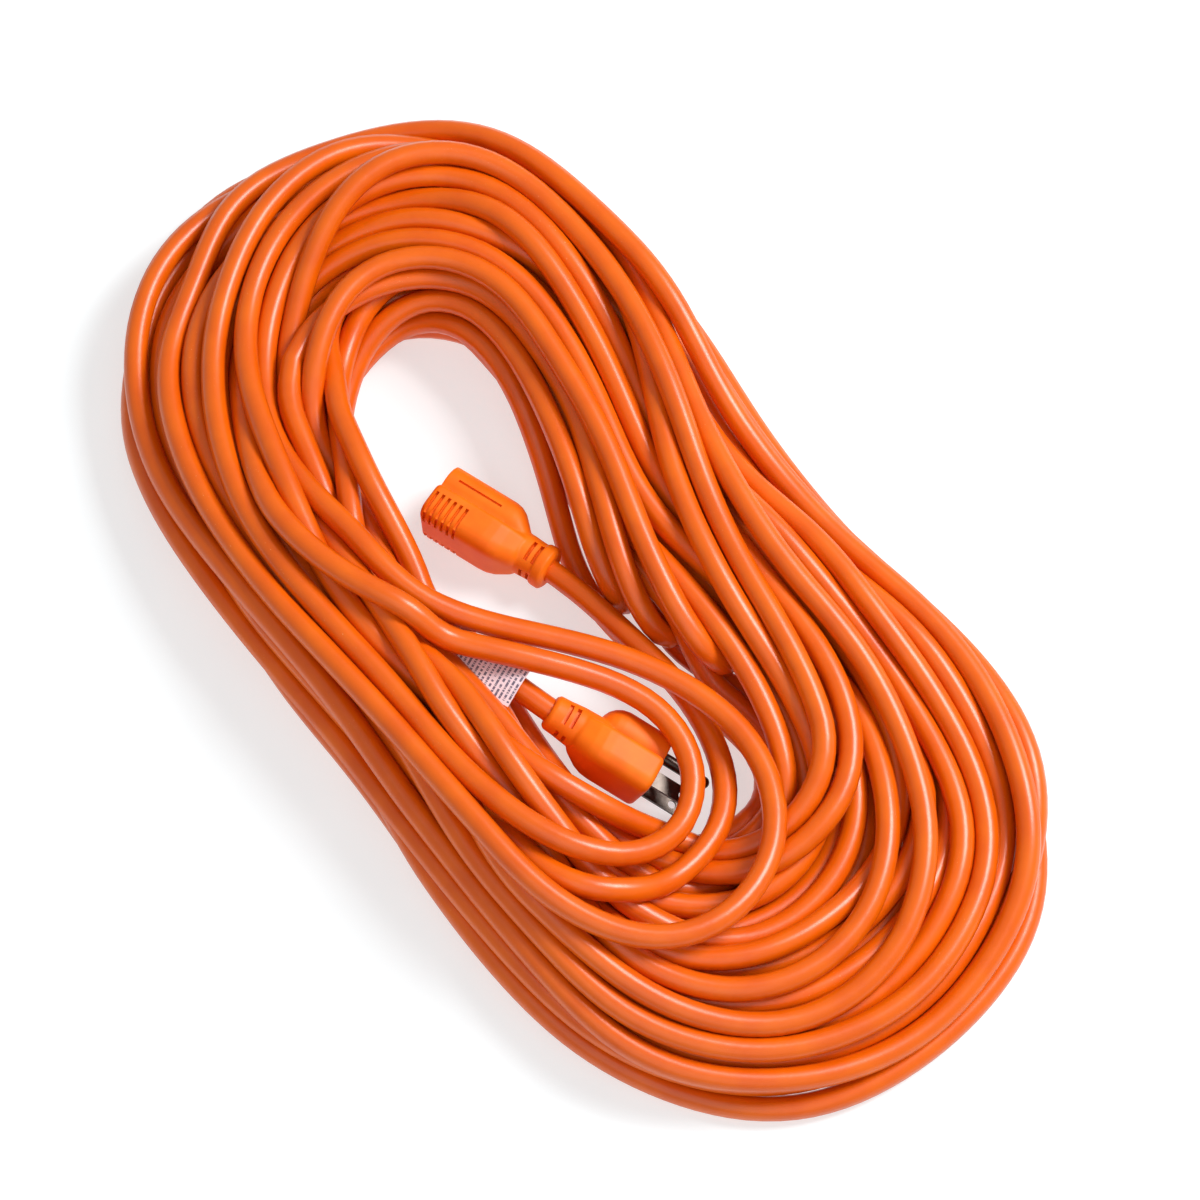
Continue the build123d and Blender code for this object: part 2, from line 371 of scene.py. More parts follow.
@dataclass(frozen=True)
class PaleFloor:
    """Matt studio floor, almost white, lit a little from below."""

    name: str = "pale_floor"

    def material(self) -> bpy.types.Material:
        """Builds the material.

        Returns:
            The new material.
        """
        sheet = NodeSheet(self.name)
        grain = sheet.noise(sheet.place("Object", (1, 1, 1)), 30, 2)
        colour = sheet.ramp(grain, [(0.3, linear(182, 189, 191)), (0.7, linear(186, 193, 195))])
        sheet.link(colour, sheet.shader.inputs["Base Color"])
        sheet.shader.inputs["Roughness"].default_value = 0.75
        sheet.shader.inputs["Emission Color"].default_value = (1, 1, 1, 1)
        sheet.shader.inputs["Emission Strength"].default_value = 0.55
        sheet.shader.inputs["Specular IOR Level"].default_value = 0.2
        return sheet.material


# ---------------------------------------------------------------- the workbench


class Bench:
    """Modelling moves, in millimetres, in a piece's own frame."""

    @staticmethod
    def clear() -> None:
        """Deselects everything."""
        if bpy.context.mode != "OBJECT":
            bpy.ops.object.mode_set(mode="OBJECT")
        bpy.ops.object.select_all(action="DESELECT")

    @staticmethod
    def pick(*objects: bpy.types.Object) -> None:
        """Selects objects and makes the first one active.

        Args:
            *objects: The objects.
        """
        Bench.clear()
        for obj in objects:
            obj.select_set(True)
        bpy.context.view_layer.objects.active = objects[0]

    @staticmethod
    def block(name: str, size: Point, centre: Point) -> bpy.types.Object:
        """Adds a block of a size at a place.

        Args:
            name: Its name.
            size: Its lengths.
            centre: Its centre.

        Returns:
            The new object.
        """
        Bench.clear()
        bpy.ops.mesh.primitive_cube_add(size=1, location=centre)
        obj = bpy.context.active_object
        obj.name = name
        obj.scale = size
        bpy.ops.object.transform_apply(location=True, rotation=True, scale=True)
        return obj

    @staticmethod
    def round_bar(
        name: str, radius: float, start: float, end: float, height: float, sides: int = 64
    ) -> bpy.types.Object:
        """Adds a round bar along X.

        Args:
            name: Its name.
            radius: Its radius.
            start: Its lower X.
            end: Its upper X.
            height: Its axis's Z.
            sides: How many sides it has.

        Returns:
            The new object.
        """
        Bench.clear()
        bpy.ops.mesh.primitive_cylinder_add(
            vertices=sides,
            radius=radius,
            depth=end - start,
            location=((start + end) / 2, 0, height),
            rotation=(0, math.pi / 2, 0),
        )
        obj = bpy.context.active_object
        obj.name = name
        bpy.ops.object.transform_apply(location=True, rotation=True, scale=True)
        return obj

    @staticmethod
    def select_none(obj: bpy.types.Object, kind: str) -> None:
        """Makes an object active, with none of its faces and edges selected.

        Args:
            obj: The object.
            kind: What is to be selected next, "FACE" or "EDGE".
        """
        Bench.pick(obj)
        bpy.ops.object.mode_set(mode="EDIT")
        bpy.ops.mesh.select_mode(type=kind)
        bpy.ops.mesh.select_all(action="DESELECT")
        bpy.ops.object.mode_set(mode="OBJECT")

    @staticmethod
    def draw_back(obj: bpy.types.Object, steps: list[tuple[float, float, float, float]]) -> None:
        """Extrudes the face at the lowest X backwards in steps, and sizes it after each.

        Args:
            obj: The object.
            steps: For each step, how far back, its scale in Y, its scale in Z and its rise in Z.
        """
        Bench.select_none(obj, "FACE")
        back = min(obj.data.polygons, key=lambda face: face.center.x)
        back.select = True
        x, z = back.center.x, back.center.z
        bpy.ops.object.mode_set(mode="EDIT")
        for length, wide, tall, rise in steps:
            bpy.ops.mesh.extrude_region_move(TRANSFORM_OT_translate={"value": (-length, 0, rise)})
            x, z = x - length, z + rise
            bpy.ops.transform.resize(value=(1, wide, tall), center_override=(x, 0, z))
        bpy.ops.object.mode_set(mode="OBJECT")

    @staticmethod
    def modify(obj: bpy.types.Object, kind: str, **settings: object) -> None:
        """Adds a modifier with these settings and applies it.

        Args:
            obj: The object.
            kind: The modifier's type.
            **settings: Its settings.
        """
        Bench.pick(obj)
        modifier = obj.modifiers.new(kind.lower(), kind)
        for key, value in settings.items():
            setattr(modifier, key, value)
        bpy.ops.object.modifier_apply(modifier=modifier.name)

    @staticmethod
    def merge(first: bpy.types.Object, *others: bpy.types.Object) -> bpy.types.Object:
        """Joins objects into the first one.

        Args:
            first: The object that takes in the others.
            *others: The others.

        Returns:
            The first object.
        """
        Bench.pick(first, *others)
        bpy.ops.object.join()
        return first

    @staticmethod
    def cut(obj: bpy.types.Object, *tools: bpy.types.Object) -> None:
        """Cuts the tools' shapes out of an object and removes them.

        Args:
            obj: The object.
            *tools: The objects that cut it.

        Raises:
            RuntimeError: If next to nothing of the object is left.
        """
        for tool in tools:
            Bench.modify(obj, "BOOLEAN", operation="DIFFERENCE", object=tool, solver="EXACT", use_self=True)
            bpy.data.objects.remove(tool, do_unlink=True)
            if len(obj.data.polygons) < FEWEST_FACES:
                raise RuntimeError("a cut left nothing of " + obj.name)

    @staticmethod
    def settle_in(obj: bpy.types.Object, local: Matrix, angle: float = 35) -> None:
        """Moves a finished mesh from its own frame in millimetres to the row frame in metres.

        Args:
            obj: The object.
            local: The piece's frame in the row frame, in metres per millimetre.
            angle: Edges sharper than this many degrees stay crisp.
        """
        obj.data.transform(local)
        Bench.pick(obj)
        bpy.ops.object.mode_set(mode="EDIT")
        bpy.ops.mesh.select_all(action="SELECT")
        bpy.ops.mesh.normals_make_consistent(inside=False)
        bpy.ops.object.mode_set(mode="OBJECT")
        bpy.ops.object.shade_smooth_by_angle(angle=math.radians(angle))


def dress(obj: bpy.types.Object, material: bpy.types.Material) -> None:
    """Gives a piece its one material and its body.

    Args:
        obj: The piece.
        material: Its finish.
    """
    obj.data.materials.clear()
    obj.data.materials.append(material)
    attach(obj, BODY)


# ---------------------------------------------------------------- mouldings


def square_frame(origin: Point, forward: Point, ground: Point) -> Matrix:
    """Makes a moulding's frame: X out of its face, Z towards the ground pin.

    Args:
        origin: The face's centre, in millimetres.
        forward: Roughly X.
        ground: Roughly Z.

    Returns:
        The matrix from millimetres in that frame to metres in the row frame.
    """
    x = Vector(forward).normalized()
    z = Vector(ground).normalized()
    z = (z - x * z.dot(x)).normalized()
    y = z.cross(x)
    turn = Matrix((x, y, z)).transposed().to_4x4()
    return Matrix.Translation(Vector(origin) * MM) @ turn @ Matrix.Scale(MM, 4)


@dataclass
class Moulding:
    """The moulded end of a cord: blade block, round ground ridge, shoulder and strain relief."""

    name: str
    local: Matrix
    front: float
    taper: float
    relief: float
    half_width: float = 13.5
    block_low: float = -8.0
    block_high: float = 7.0
    ridge_radius: float = 8.2
    ground_offset: float = 11.9
    neck_height: float = 4.0
    low_round: float = 5.5
    neck_radius: float = 8.4
    voxel: float = 0.42
    tuck: float = 5.0
    shoulder: tuple[Point, ...] = (
        (0.97, 0.99, 0.1), (0.90, 0.97, 0.5), (0.82, 0.94, 0.9), (0.80, 0.92, 1.0),
    )
    slot_rows: tuple[float, float] = (9.4, 6.2)
    slot_size: Point = (1.6, 4.6, 8.6)
    slot_sink: float = 1.2
    notch_size: Point = (1.4, 6.6, 4.4)
    notch_sink: float = 0.8
    relief_profile: tuple[tuple[float, float], ...] = (
        (0.36, 0.99), (0.20, 0.97), (0.12, 0.99), (0.05, 1.10), (0.20, 1.02), (0.07, 0.80),
    )

    @property
    def length(self) -> float:
        """Its whole length."""
        return self.front + self.taper + self.relief

    def at(self, x: float, y: float, z: float) -> Vector:
        """A point of its frame in the row frame, in millimetres."""
        return (self.local @ Vector((x, y, z))) / MM

    def blade_block(self) -> bpy.types.Object:
        """Models the flat block round the two blades, drawn in towards the neck.

        Returns:
            The block.
        """
        middle = (self.block_low + self.block_high) / 2
        height = self.block_high - self.block_low
        straight = self.front - self.tuck
        block = Bench.block("block", (straight, 2 * self.half_width, height), (-straight / 2, 0, middle))
        run = self.taper + self.tuck
        Bench.draw_back(block, [(run * 0.25, wide, tall, rise) for wide, tall, rise in self.shoulder])
        Bench.select_none(block, "EDGE")
        for edge in block.data.edges:
            first, second = (block.data.vertices[index].co for index in edge.vertices)
            lengthways = abs(first.x - second.x) > 0.5
            edge.select = lengthways and first.z < middle and second.z < middle + 2
        bpy.ops.object.mode_set(mode="EDIT")
        bpy.ops.mesh.bevel(offset=self.low_round, segments=12, affect="EDGES", profile=0.5)
        bpy.ops.object.mode_set(mode="OBJECT")
        sharp = math.radians(50)
        Bench.modify(block, "BEVEL", width=2.4, segments=5, limit_method="ANGLE", angle_limit=sharp)
        return block

    def strain_relief(self) -> bpy.types.Object:
        """Models the tapered relief, step after step from its profile of lengths and scales.

        Returns:
            The relief.
        """
        start = -(self.front + self.taper * 0.35)
        relief = Bench.round_bar("relief", self.neck_radius, start, start + 6, self.neck_height)
        left = self.length + start
        Bench.draw_back(relief, [(left * share, scale, scale, 0) for share, scale in self.relief_profile])
        return relief

    def relief_slots(self) -> list[bpy.types.Object]:
        """Models the cutters for the relief's slots: two on each broad side, two notches on each edge.

        Returns:
            The cutters, joined into one.
        """
        cutters = []
        for x in (self.length - row for row in self.slot_rows):
            for side in (-1, 1):
                place = (-x, side * (self.neck_radius - self.slot_sink), self.neck_height)
                cutters.append(Bench.block("slot", self.slot_size, place))
                place = (-x, 0, self.neck_height + side * (self.neck_radius - self.notch_sink))
                cutters.append(Bench.block("slot", self.notch_size, place))
        return [Bench.merge(*cutters)]

    def ridge(self) -> bpy.types.Object:
        """Models the round ridge over the ground pin; each moulding has its own."""
        raise NotImplementedError

    def details(self) -> list[bpy.types.Object]:
        """Models the cutters for this moulding's own marks."""
        return []

    def build(self, material: bpy.types.Material) -> bpy.types.Object:
        """Joins the shapes into one skin, cuts its details and puts it in place.

        Args:
            material: Its finish.

        Returns:
            The moulding.
        """
        body = Bench.merge(self.blade_block(), self.ridge(), self.strain_relief())
        Bench.modify(body, "REMESH", mode="VOXEL", voxel_size=self.voxel, adaptivity=0.0)
        Bench.modify(body, "SMOOTH", factor=0.5, iterations=7)
        Bench.cut(body, *self.relief_slots(), *self.details())
        Bench.settle_in(body, self.local)
        body.name = self.name + "_moulding"
        dress(body, material)
        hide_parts(self.name + "_body")
        return body


@dataclass
class Connector(Moulding):
    """The female end: grip ribs, a slit along the ridge and the pocket of its hard insert."""

    ribs: int = 6
    rib_pitch: float = 2.75
    insert_depth: float = 25.0
    insert_wall: float = 3.2
    first_rib: float = 2.6
    side_groove: Point = (1.3, 5.0, 12.6)
    low_groove: Point = (1.3, 8.0, 3.2)
    slit_size: Point = (20.0, 2.2, 1.0)
    slit_middle: float = 15.0
    fall: tuple[Point, ...] = (
        (0.99, 0.97, -0.3), (0.96, 0.92, -0.8), (0.93, 0.86, -1.5), (0.93, 0.86, -1.8), (0.94, 0.9, -1.6),
    )

    def ridge(self) -> bpy.types.Object:
        """Models the ridge: half round from the face, then a shoulder that falls to the neck.

        Returns:
            The ridge with the web under it.
        """
        bar = Bench.round_bar("ridge", self.ridge_radius, -self.front + 4, 0, self.ground_offset)
        run = self.taper + self.tuck
        Bench.draw_back(bar, [(run * 0.18, wide, tall, rise) for wide, tall, rise in self.fall])
        reach, height = self.front - 3, 12
        web = Bench.block("web", (reach, 2 * self.ridge_radius - 1, height), (-reach / 2, 0, height / 2))
        return Bench.merge(bar, web)

    def details(self) -> list[bpy.types.Object]:
        """Models the ribs' grooves, the ridge's slits and the insert's pocket.

        Returns:
            The cutters.
        """
        grooves = []
        for index in range(self.ribs):
            x = -self.first_rib - self.rib_pitch * index
            for side in (-1, 1):
                place = (x, side * (self.half_width + 0.6), -3.2)
                grooves.append(Bench.block("groove", self.side_groove, place))
                place = (x, side * (self.half_width - 3.6), self.block_low)
                grooves.append(Bench.block("groove", self.low_groove, place))
        for side in (-1, 1):
            place = (-self.slit_middle, side * (self.ridge_radius - 0.1), self.ground_offset + 1.2)
            grooves.append(Bench.block("slit", self.slit_size, place))
        marks = Bench.merge(*grooves)
        wide = 2 * (self.half_width - self.insert_wall)
        tall = self.block_high - self.block_low - 2 * (self.insert_wall - 0.6)
        depth = self.insert_depth
        plate = Bench.block("plate", (depth + 1, wide, tall), (0.5 - depth / 2, 0, -0.5))
        Bench.modify(plate, "BEVEL", width=2.0, segments=4, limit_method="ANGLE")
        boss = Bench.round_bar("boss", self.ridge_radius - self.insert_wall, -depth, 1, self.ground_offset)
        height = self.ground_offset
        link = Bench.block("link", (depth + 1, 8, height), (0.5 - depth / 2, 0, height / 2))
        return [marks, plate, boss, link]


@dataclass
class Plug(Moulding):
    """The male end: a round-backed bump over the ground pin and a plain block."""

    dome: float = 8.6
    dome_turns: tuple[float, ...] = (0.35, 0.62, 0.82, 0.95, 1.0)

    def ridge(self) -> bpy.types.Object:
        """Models the bump: round from the face, closed by a dome over the shoulder.

        Returns:
            The bump with the web under it.
        """
        radius = self.ridge_radius
        bar = Bench.round_bar("bump", radius, -self.front + 6, 0, self.ground_offset)
        steps = []
        last, size = 0.0, 1.0
        for turn in self.dome_turns:
            reach = self.dome * turn
            now = math.sqrt(max(1 - turn * turn, 0.004))
            steps.append((reach - last, now / size, now / size, -0.5 * (reach - last) / self.dome))
            last, size = reach, now
        Bench.draw_back(bar, steps)
        reach, height = self.front - 6, 11
        web = Bench.block("web", (reach, 2 * radius - 2.4, height), (-reach / 2, 0, height / 2))
        return Bench.merge(bar, web)


# ---------------------------------------------------------------- the cord


class Way(Enum):
    """Which way the cord goes round the hank, seen from above."""

    CLOCKWISE = -1
    ANTICLOCKWISE = 1


@dataclass
class Ring:
    """The hank's room: stations round it, each with its inner edge, outer edge and pile height."""

    cord: float
    inner: list[tuple[float, float]]
    outer: list[tuple[float, float]]
    pile: list[float]

    @property
    def count(self) -> int:
        """How many stations there are."""
        return len(self.pile)

    @staticmethod
    def blend(values: np.ndarray, where: np.ndarray, closed: bool) -> np.ndarray:
        """Runs a smooth line through a list of values.

        Args:
            values: One row for each station.
            where: The places along it, in stations.
            closed: True if the list is a ring.

        Returns:
            One row for each place.
        """
        count = len(values)
        base = np.floor(where).astype(int)
        if not closed:
            base = np.clip(base, 0, count - 2)
        t = where - base
        if values.ndim > 1:
            t = t[:, None]
        rows = []
        for offset in (-1, 0, 1, 2):
            index = base + offset
            rows.append(values[index % count] if closed else values[np.clip(index, 0, count - 1)])
        p0, p1, p2, p3 = rows
        square = 2 * p0 - 5 * p1 + 4 * p2 - p3
        cube = 3 * p1 - p0 - 3 * p2 + p3
        return 0.5 * (2 * p1 + (p2 - p0) * t + square * t**2 + cube * t**3)

    def points(self, where: np.ndarray, lane: np.ndarray, level: np.ndarray) -> np.ndarray:
        """Turns stations, lanes and levels into points.

        Args:
            where: The stations.
            lane: 0 at the inner edge, 1 at the outer edge.
            level: 0 on the floor, 1 at the top of the pile.

        Returns:
            One point a row, in millimetres.
        """
        inner = self.blend(np.array(self.inner, float), where, True)
        outer = self.blend(np.array(self.outer, float), where, True)
        pile = self.blend(np.array(self.pile, float), where, True)
        flat = inner + (outer - inner) * lane[:, None]
        return np.column_stack([flat, self.cord / 2 + level * (pile - self.cord)])


@dataclass
class Stretch:
    """One laid stretch of the cord, and how firmly it keeps its place while the hank settles."""

    points: np.ndarray
    pull: float
    held: tuple[float, float] | None = None

    def held_marks(self) -> np.ndarray:
        """Marks the points that don't move at all.

        Returns:
            1 for each held point, 0 for the others.
        """
        share = np.linspace(0, 1, len(self.points))
        if self.held is None:
            return np.zeros(len(self.points))
        return ((share >= self.held[0]) & (share <= self.held[1])).astype(float)


@dataclass
class Route:
    """The cord's whole way, stretch after stretch, from the connector to the plug."""

    ring: Ring
    seed: int = 11
    fine: float = 4.0
    loose_step: float = 0.02
    turn_step: float = 0.06
    turn_window: int = 19
    join_window: int = 15
    stretches: list[Stretch] = field(default_factory=list)

    def __post_init__(self) -> None:
        """Seeds the small wander of the plain turns."""
        self.random = np.random.default_rng(self.seed)

    @staticmethod
    def smooth(line: np.ndarray, width: int) -> np.ndarray:
        """Smooths a row of values with a bell-shaped window.

        Args:
            line: The values.
            width: The window's width, an odd number of values.

        Returns:
            As many values, smoothed.
        """
        window = np.hanning(width) / np.hanning(width).sum()
        return np.convolve(np.pad(line, width // 2, mode="edge"), window, mode="valid")

    @staticmethod
    def even(points: np.ndarray, step: float) -> np.ndarray:
        """Spaces points evenly along their own line.

        Args:
            points: The line.
            step: The spacing wanted.

        Returns:
            The evenly spaced points.
        """
        run = np.linalg.norm(np.diff(points, axis=0), axis=1)
        points = points[np.concatenate([[True], run > 1e-6])]
        reach = np.concatenate([[0], np.cumsum(np.linalg.norm(np.diff(points, axis=0), axis=1))])
        at = np.linspace(0, reach[-1], int(round(reach[-1] / step)) + 1)
        return np.column_stack([np.interp(at, reach, points[:, axis]) for axis in range(3)])

    def loose(self, points: list[Point], pull: float, held: tuple[float, float] | None = None) -> None:
        """Lays a stretch through listed points.

        Args:
            points: Its points, in metres.
            pull: How firmly it keeps its place.
            held: The share of it that doesn't move, from and to.
        """
        laid = np.array(points, float) / MM
        where = np.arange(0, len(laid) - 1 + 1e-9, self.loose_step)
        self.stretches.append(Stretch(self.even(Ring.blend(laid, where, False), self.fine), pull, held))

    def turns(self, keys: list[Key], way: Way, pull: float) -> None:
        """Lays turns round the hank through a list of keys.

        Args:
            keys: Station, lane and level of each key, in order.
            way: Which way round.
            pull: How firmly they keep their place.
        """
        unwound: list[float] = []
        for station, _, _ in keys:
            while unwound and (station - unwound[-1]) * way.value < -1e-6:
                station += self.ring.count * way.value
            unwound.append(station)
        order = np.array(unwound) * way.value
        at = np.linspace(order[0], order[-1], int((order[-1] - order[0]) / self.turn_step) + 2)
        lines = []
        for column in (1, 2):
            line = np.interp(at, order, [key[column] for key in keys])
            lines.append(self.smooth(line, self.turn_window))
        self.stretches.append(Stretch(self.ring.points(at * way.value, lines[0], lines[1]), pull))

    def plain(
        self, way: Way, start: float, lanes: list[tuple[float, float]], wander: float = 0.05
    ) -> list[Key]:
        """Makes the keys of plain turns; beside the plug the inner ones lie low.

        Args:
            way: Which way round.
            start: The first station.
            lanes: Each turn's lane and level.
            wander: How far the lane drifts.

        Returns:
            The keys.
        """
        keys = []
        for lane, level in lanes:
            for step in range(self.ring.count // 3):
                station = (start + way.value * 3 * step) % self.ring.count
                drifted = float(np.clip(lane + self.random.normal(0, wander), 0, 1))
                beside_plug = station in (13, 15) and lane < 0.45
                keys.append((station, drifted + 0.08 * beside_plug, level * (0.55 if beside_plug else 1.0)))
        return keys

    def chosen(
        self,
        lanes: dict[float, float],
        way: Way,
        level: float,
        start: float,
        dip: dict[float, float] | None = None,
    ) -> list[Key]:
        """Makes the keys of one turn whose lanes are listed one by one.

        Args:
            lanes: The lane at each station.
            way: Which way round.
            level: The turn's level.
            start: Where it starts.
            dip: The level at the stations where it runs lower.

        Returns:
            The keys, in order.
        """
        order = sorted(lanes, key=lambda station: ((station - start) * way.value) % self.ring.count)
        low = dip or {}
        return [(station, lanes[station], low.get(station, level)) for station in order]

    def joined(self, segment: float) -> tuple[np.ndarray, np.ndarray, np.ndarray]:
        """Joins the stretches into one evenly spaced line.

        Args:
            segment: The spacing wanted.

        Returns:
            The points, which of them are held, and how firmly each keeps its place.
        """
        raw = np.vstack([stretch.points for stretch in self.stretches])
        held = np.concatenate([stretch.held_marks() for stretch in self.stretches])
        pull = np.concatenate([np.full(len(stretch.points), stretch.pull) for stretch in self.stretches])
        run = np.linalg.norm(np.diff(raw, axis=0), axis=1)
        reach = np.concatenate([[0], np.cumsum(run)])
        fine = self.even(raw, self.fine)
        columns = [self.smooth(fine[:, axis], self.join_window) for axis in range(3)]
        line = self.even(np.column_stack(columns), segment)
        at = np.linspace(0, reach[-1], len(line))
        return line, np.interp(at, reach, held) > 0.98, np.interp(at, reach, pull)


@dataclass
class Settling:
    """Lets the laid cord sink under its weight and a flat lid, until its turns rest on each other."""

    cord: float
    segment: float
    touch: float = 9.2
    steps: int = 200
    rounds: int = 4
    weight: float = 0.5
    lid: float = 59.0

    @staticmethod
    def nearest(x: np.ndarray, i: np.ndarray, j: np.ndarray) -> tuple[np.ndarray, np.ndarray, np.ndarray]:
        """Finds the nearest points of pairs of segments.

        Args:
            x: The line's points.
            i: The first segments.
            j: The second segments.

        Returns:
            The share along each first and second segment, and the vector between them.
        """
        p1, q1, p2, q2 = x[i], x[i + 1], x[j], x[j + 1]
        d1, d2, r = q1 - p1, q2 - p2, p1 - p2
        a = np.einsum("ij,ij->i", d1, d1)
        e = np.einsum("ij,ij->i", d2, d2)
        f = np.einsum("ij,ij->i", d2, r)
        c = np.einsum("ij,ij->i", d1, r)
        b = np.einsum("ij,ij->i", d1, d2)
        den = a * e - b * b
        s = np.where(den > 1e-6 * a * e, np.clip((b * f - c * e) / np.maximum(den, 1e-9), 0, 1), 0.5)
        t = np.clip((b * s + f) / e, 0, 1)
        s = np.clip((b * t - c) / a, 0, 1)
        t = np.clip((b * s + f) / e, 0, 1)
        return s, t, (p1 + d1 * s[:, None]) - (p2 + d2 * t[:, None])

    def neighbours(self, x: np.ndarray) -> tuple[np.ndarray, np.ndarray]:
        """Lists the pairs of segments that are close enough to touch soon.

        Args:
            x: The line's points.

        Returns:
            The first and second segments of the pairs.
        """
        reach = self.cord + 5
        middle = ((x[:-1] + x[1:]) / 2).astype(np.float32)
        square = (middle * middle).sum(1)
        apart = square[:, None] + square[None, :] - 2 * (middle @ middle.T)
        i, j = np.nonzero(np.triu(apart < (self.segment + reach) ** 2, 5))
        _, _, gap = self.nearest(x, i, j)
        close = np.einsum("ij,ij->i", gap, gap) < reach**2
        return i[close], j[close]

    def push_apart(self, x: np.ndarray, free: np.ndarray, i: np.ndarray, j: np.ndarray) -> float:
        """Pushes overlapping segments apart, once.

        Args:
            x: The line's points, changed in place.
            free: 1 for a point that may move.
            i: The first segments.
            j: The second segments.

        Returns:
            The deepest overlap found.
        """
        s, t, gap = self.nearest(x, i, j)
        apart = np.sqrt(np.einsum("ij,ij->i", gap, gap)) + 1e-6
        deep = self.touch - apart
        hit = deep > 0
        if not hit.any():
            return 0.0
        i, j, s, t = i[hit], j[hit], s[hit], t[hit]
        normal = gap[hit] / apart[hit][:, None]
        loose = (1 - s) * free[i] + s * free[i + 1] + (1 - t) * free[j] + t * free[j + 1]
        push = np.where(loose > 1e-3, deep[hit] / np.maximum(loose, 1e-6), 0)
        move = np.zeros_like(x)
        share = np.zeros(len(x))
        for index, weight, sign in ((i, 1 - s, 1), (i + 1, s, 1), (j, 1 - t, -1), (j + 1, t, -1)):
            for axis in range(3):
                pushed = sign * weight * push * normal[:, axis]
                move[:, axis] += np.bincount(index, weights=pushed, minlength=len(x))
            share += np.bincount(index, weights=weight, minlength=len(x))
        x += move / np.maximum(share, 1)[:, None] * 1.5 * free[:, None]
        return float(deep.max())

    def run(self, x: np.ndarray, held: np.ndarray, pull: np.ndarray, steps: int) -> np.ndarray:
        """Settles the cord.

        Args:
            x: The laid points, in millimetres.
            held: The points that don't move.
            pull: How firmly each keeps its place.
            steps: How many steps to take.

        Returns:
            The settled points.
        """
        x = x.copy()
        home = x[:, :2].copy()
        free = np.where(held, 0.0, 1.0)
        drift = np.where(pull > 0.2, 5.0, np.where(pull > 0.08, 8.0, 11.0))
        shape = np.zeros_like(x)
        shape[1:-1] = x[:-2] - 2 * x[1:-1] + x[2:]
        shape[:, 2] = np.where(held, shape[:, 2], 0)
        deep = 0.0
        for step in range(steps):
            share = step / steps
            early = share < 0.75
            if step % 3 == 0:
                i, j = self.neighbours(x)
            x[:, 2] -= self.weight * (1.0 if share < 0.5 else 0.5 if early else 0.12) * free
            x[:, :2] += (home - x[:, :2]) * (pull * free * (1.0 if early else 0.3))[:, None]
            for _ in range(self.rounds):
                run = x[1:] - x[:-1]
                size = np.linalg.norm(run, axis=1)
                back = (0.35 * (size - self.segment) / size)[:, None] * run
                x[:-1] += back * free[:-1, None]
                x[1:] -= back * free[1:, None]
                bend = np.zeros_like(x)
                bend[1:-1] = (x[:-2] - 2 * x[1:-1] + x[2:]) - shape[1:-1]
                bend *= 0.35 if early else 0.2
                x += bend * (free * 0.25)[:, None]
                x[:-1] -= bend[1:] * (free[:-1] * 0.125)[:, None]
                x[1:] -= bend[:-1] * (free[1:] * 0.125)[:, None]
                for _ in range(2 if early else 4):
                    deep = self.push_apart(x, free, i, j)
                    off = x[:, :2] - home
                    far = np.sqrt((off * off).sum(1)) + 1e-9
                    kept = home + off * np.minimum(1.0, drift / far)[:, None]
                    x[:, :2] = np.where(free[:, None] > 0, kept, x[:, :2])
                    x[:, 2] = np.clip(x[:, 2], self.cord / 2, self.lid)
        LOG.info("settled: deepest overlap %.2f mm, top %.1f mm", deep, x[:, 2].max() + self.cord / 2)
        return x


